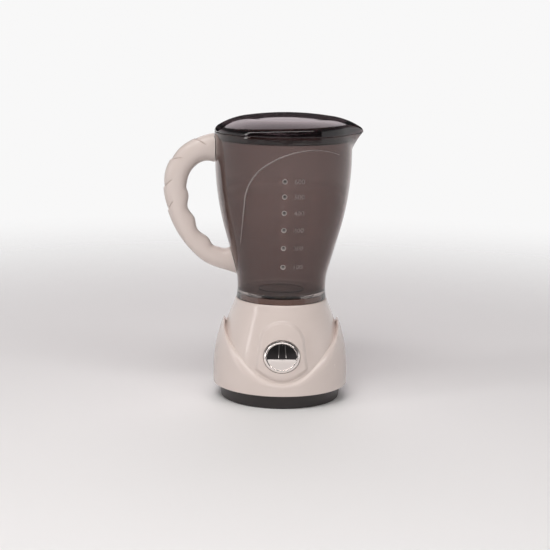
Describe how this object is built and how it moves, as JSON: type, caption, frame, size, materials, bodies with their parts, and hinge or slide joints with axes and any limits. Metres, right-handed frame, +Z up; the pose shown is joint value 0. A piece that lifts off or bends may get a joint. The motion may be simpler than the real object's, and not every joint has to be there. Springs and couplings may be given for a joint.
{
  "type": "toy blender",
  "caption": "Toy blender: off-white motor base with push button, lift-off smoky clear jug with handle and spout, and a dark clear lid.",
  "frame": {"origin": "on the base's axis at the level of the standing rim under the base plate", "axes": "+Z up along the base's axis, -Y towards the button, -X towards the handle, +X towards the spout"},
  "size_m": [0.1513, 0.1054, 0.2188],
  "materials": {
    "shell": "glossy off-white",
    "dark": "glossy near-black",
    "smoke": "clear smoky brown",
    "lid_smoke": "dark clear smoke",
    "plated": "mirror plated",
    "natural": "natural acetal",
    "frame_grey": "moulded grey",
    "black": "moulded black",
    "board": "brown laminate",
    "steel": "zinc plated",
    "brass": "turned",
    "cell": "printed sleeve"
  },
  "bodies": {
    "base": {"base_housing": "shell", "base_plate": "dark", "battery_cover": "dark", "battery_cells": "cell", "battery_contacts": "steel", "case_screws": "steel", "cover_screw": "steel", "push_switch": "black", "switch_board": "board", "switch_screws": "steel", "gear_frame": "frame_grey", "frame_screws": "steel", "motor_can": "steel", "motor_end_cap": "natural", "motor_terminals": "brass", "spindle_bush": "brass"},
    "button": {"button": "plated", "switch_plunger": "natural"},
    "drive": {"drive_gear": "natural", "drive_spindle": "steel", "drive_coupling": "black"},
    "pinion": {"motor_shaft": "steel", "motor_pinion": "brass"},
    "jug": {"jug": "smoke", "agitator_bush": "brass", "handle_front": "shell", "handle_rear": "shell", "handle_screws": "steel"},
    "agitator": {"agitator_disc": "smoke", "agitator_shaft": "steel", "agitator_coupling": "black"},
    "lid": {"lid": "lid_smoke"}
  },
  "joints": [
    {"name": "button_press", "type": "slide", "parent": "base", "child": "button", "axis": [0, 0.9781, -0.2079], "range_m": [0, 0.0025], "stiffness_N_per_m": 900, "springref_m": -0.0015},
    {"name": "drive_spin", "type": "hinge", "parent": "base", "child": "drive", "pos_m": [0, 0, 0.05], "axis": [0, 0, 1], "continuous": true},
    {"name": "pinion_spin", "type": "hinge", "parent": "base", "child": "pinion", "pos_m": [0, 0.024, 0.05], "axis": [0, 0, 1], "continuous": true},
    {"name": "jug_lift", "type": "slide", "parent": "base", "child": "jug", "axis": [0, 0, 1], "range_m": [0, 0.03]},
    {"name": "agitator_spin", "type": "hinge", "parent": "jug", "child": "agitator", "pos_m": [0, 0, 0.08], "axis": [0, 0, 1], "continuous": true},
    {"name": "lid_lift", "type": "slide", "parent": "jug", "child": "lid", "axis": [0, 0, 1], "range_m": [0, 0.03]}
  ],
  "couplings": [
    {"joint": "pinion_spin", "follows": "drive_spin", "ratio": -4},
    {"joint": "agitator_spin", "follows": "drive_spin", "ratio": 1}
  ]
}
